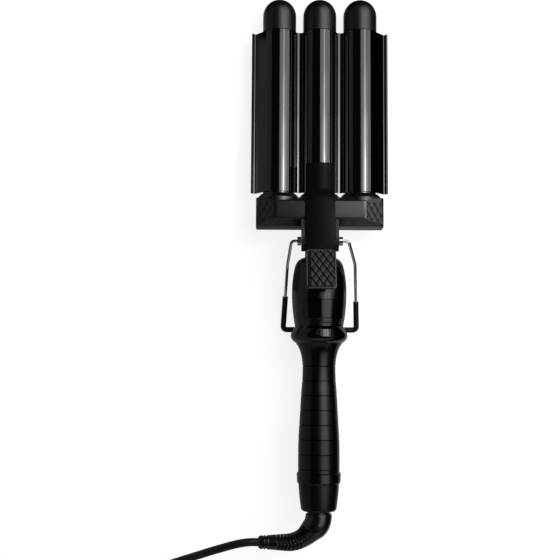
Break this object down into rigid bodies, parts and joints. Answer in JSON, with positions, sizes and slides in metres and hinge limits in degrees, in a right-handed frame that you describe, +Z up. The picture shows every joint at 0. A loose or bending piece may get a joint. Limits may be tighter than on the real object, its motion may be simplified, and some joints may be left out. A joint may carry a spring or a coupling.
{
  "type": "three-barrel hair waver",
  "caption": "Hair waver with parallel heated barrels on a cross housing, a sprung wave plate worked by a thumb lever, a folding wire rest, a waisted grip and a swivel cord with its plug",
  "frame": {"origin": "Centre of the waver's bounding box in plan, without its free cord, on the surface that it lies on", "axes": "+X across the barrels, +Y along the handle towards the tips, +Z up through the clamp lever; the tool lies on its folded rest and its tip caps"},
  "size_m": [0.2321, 0.601, 0.0638],
  "materials": {
    "barrel_coating": "glossy dark ceramic coating",
    "cap_plastic": "matte black heat-proof plastic",
    "spreader_metal": "bare extrusion",
    "heater_ceramic": "unglazed",
    "collar_plastic": "satin black",
    "housing_plastic": "satin black moulded, textured end bevels",
    "screw_steel": "blackened",
    "bracket_plastic": "satin black",
    "pin_steel": "ground",
    "spring_steel": "oiled",
    "plate_coating": "gloss black ceramic coating",
    "lever_paint": "satin black",
    "pad_plastic": "satin black with a crossed diamond texture",
    "wire_chrome": "bright",
    "sleeve_rubber": "satin black",
    "bushing_plastic": "satin black",
    "bulb_gloss": "piano black",
    "board_laminate": "green laminate",
    "switch_plastic": "matte",
    "button_gloss": "piano black",
    "band_gloss": "piano black",
    "dial_plastic": "satin dark grey, ribbed",
    "core_plastic": "matte",
    "grip_plastic": "satin black, soft to the touch",
    "ring_gloss": "gloss black",
    "tail_plastic": "satin black",
    "swivel_plastic": "satin black",
    "relief_rubber": "matte black",
    "cord_rubber": "matte black jacket",
    "tie_plastic": "matte black strap",
    "plug_plastic": "matte black",
    "plug_nickel": "nickel-plated"
  },
  "bodies": {
    "wand": {"barrel_left": "barrel_coating", "barrel_middle": "barrel_coating", "barrel_right": "barrel_coating", "tip_cap_left": "cap_plastic", "tip_cap_middle": "cap_plastic", "tip_cap_right": "cap_plastic", "heat_spreader_left": "spreader_metal", "heat_spreader_middle": "spreader_metal", "heat_spreader_right": "spreader_metal", "ptc_heater_left": "heater_ceramic", "ptc_heater_middle": "heater_ceramic", "ptc_heater_right": "heater_ceramic", "barrel_collars": "collar_plastic", "housing_front": "housing_plastic", "housing_back": "housing_plastic", "housing_screws": "screw_steel", "hinge_bracket": "bracket_plastic", "hinge_pin": "pin_steel", "return_spring": "spring_steel", "handle_front": "bulb_gloss", "handle_back": "bulb_gloss", "handle_screws": "screw_steel", "control_board": "board_laminate", "button_switch": "switch_plastic", "dial_band": "band_gloss", "handle_core": "core_plastic", "grip_sleeve": "grip_plastic", "end_ring": "ring_gloss", "tail_cap": "tail_plastic"},
    "clamp": {"clamp_plate": "plate_coating", "clamp_lever": "lever_paint", "thumb_pad": "pad_plastic"},
    "rest": {"rest_wire": "wire_chrome", "rest_sleeve": "sleeve_rubber", "rest_bushings": "bushing_plastic"},
    "button": {"power_button": "button_gloss"},
    "dial": {"heat_dial": "dial_plastic"},
    "cord_set": {"swivel_spindle": "swivel_plastic", "strain_relief": "relief_rubber", "cord_lead": "cord_rubber", "cord_coil": "cord_rubber", "cord_tie": "tie_plastic", "cord_tail": "cord_rubber", "plug_body": "plug_plastic", "plug_pins": "plug_nickel"}
  },
  "joints": [
    {"name": "clamp_open", "type": "hinge", "parent": "wand", "child": "clamp", "pos_m": [0, 0.00631, 0.0392], "axis": [1, 0, 0], "range_deg": [0, 18], "stiffness_Nm_per_rad": 0.5, "springref_deg": -34.38},
    {"name": "rest_fold", "type": "hinge", "parent": "wand", "child": "rest", "pos_m": [0, 0.00631, 0.0392], "axis": [1, 0, 0], "range_deg": [0, 65]},
    {"name": "button_press", "type": "slide", "parent": "wand", "child": "button", "axis": [0, -0.0467, -0.9989], "range_m": [0, 0.0006], "stiffness_N_per_m": 800, "springref_m": -0.0005},
    {"name": "dial_turn", "type": "hinge", "parent": "wand", "child": "dial", "pos_m": [0, -0.06631, 0.02558], "axis": [0, 0.9989, -0.0467], "range_deg": [-120, 120]},
    {"name": "cord_swivel", "type": "hinge", "parent": "wand", "child": "cord_set", "pos_m": [0, -0.20396, 0.03201], "axis": [0, 0.9989, -0.0467], "continuous": true}
  ]
}
